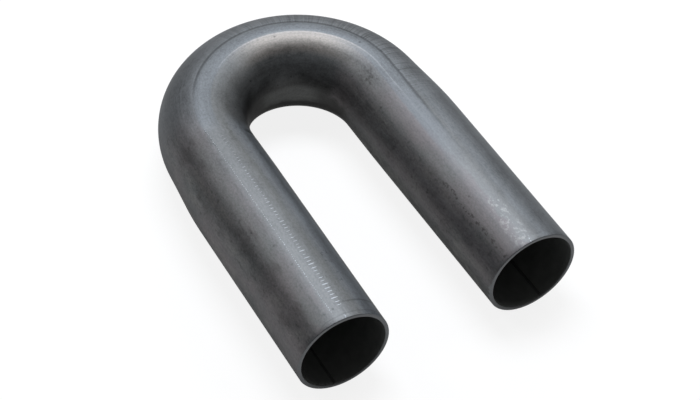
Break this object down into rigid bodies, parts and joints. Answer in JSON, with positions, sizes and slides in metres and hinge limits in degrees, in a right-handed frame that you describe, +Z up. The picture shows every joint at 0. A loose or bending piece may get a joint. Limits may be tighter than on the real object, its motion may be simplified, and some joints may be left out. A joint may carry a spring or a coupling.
{
  "type": "return bend",
  "caption": "Plain steel tube bent back on itself through half a turn, with straight legs and open square-cut ends, to turn a pipe run round.",
  "frame": {"origin": "under the middle of the outline, on the surface that the bend lies on", "axes": "+Z up, +X across the legs, +Y along the legs from the open ends towards the bend"},
  "size_m": [0.1596, 0.2156, 0.0508],
  "materials": {
    "bare_steel": "bare mill finish mild steel, lightly oiled"
  },
  "bodies": {
    "root": {"bent_tube": "bare_steel"}
  },
  "joints": []
}
